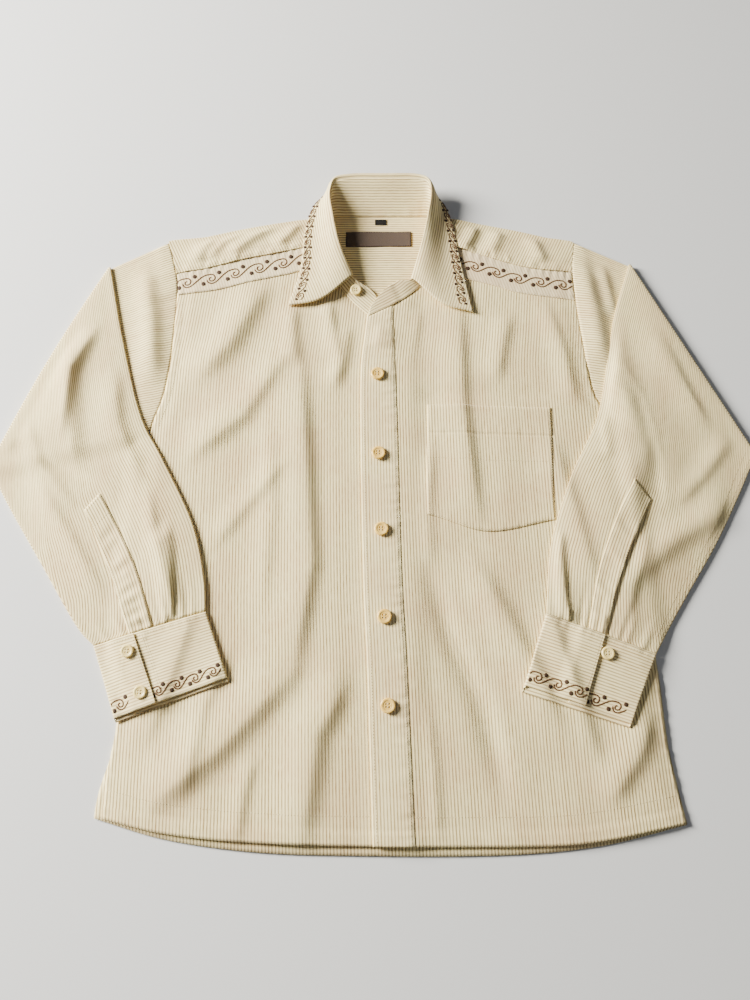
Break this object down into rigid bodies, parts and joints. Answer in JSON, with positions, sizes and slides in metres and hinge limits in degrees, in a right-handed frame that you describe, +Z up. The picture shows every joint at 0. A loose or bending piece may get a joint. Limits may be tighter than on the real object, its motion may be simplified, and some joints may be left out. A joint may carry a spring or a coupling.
{
  "type": "boxy long-sleeved shirt laid flat",
  "caption": "Men's boxy long-sleeved shirt laid flat on its back, sleeves folded over the front, with pocket, collar and embroidered trim.",
  "frame": {"origin": "centre of the bounding box in X and Y, on the surface that the shirt lies on", "axes": "+X to the wearer's left, which is right as seen; +Y from the hem to the collar; +Z up from the surface"},
  "size_m": [0.859, 0.7779, 0.0267],
  "materials": {
    "shirting": "cream striped shirting, matt",
    "button": "satin",
    "neck_label": "woven",
    "size_label": "woven"
  },
  "bodies": {
    "root": {"back": "shirting", "yoke": "shirting", "yoke_lining": "shirting", "front_right": "shirting", "front_left": "shirting", "placket": "shirting", "pocket": "shirting", "band_left": "shirting", "band_right": "shirting", "collar_stand": "shirting", "collar_leaf": "shirting", "sleeve_right": "shirting", "cuff_right": "shirting", "sleeve_placket_right": "shirting", "sleeve_left": "shirting", "cuff_left": "shirting", "sleeve_placket_left": "shirting", "front_button_1": "button", "front_button_2": "button", "front_button_3": "button", "front_button_4": "button", "front_button_5": "button", "cuff_button_right_1": "button", "cuff_button_right_2": "button", "cuff_button_left": "button", "collar_button": "button", "neck_label": "neck_label", "size_label": "size_label"}
  },
  "joints": []
}
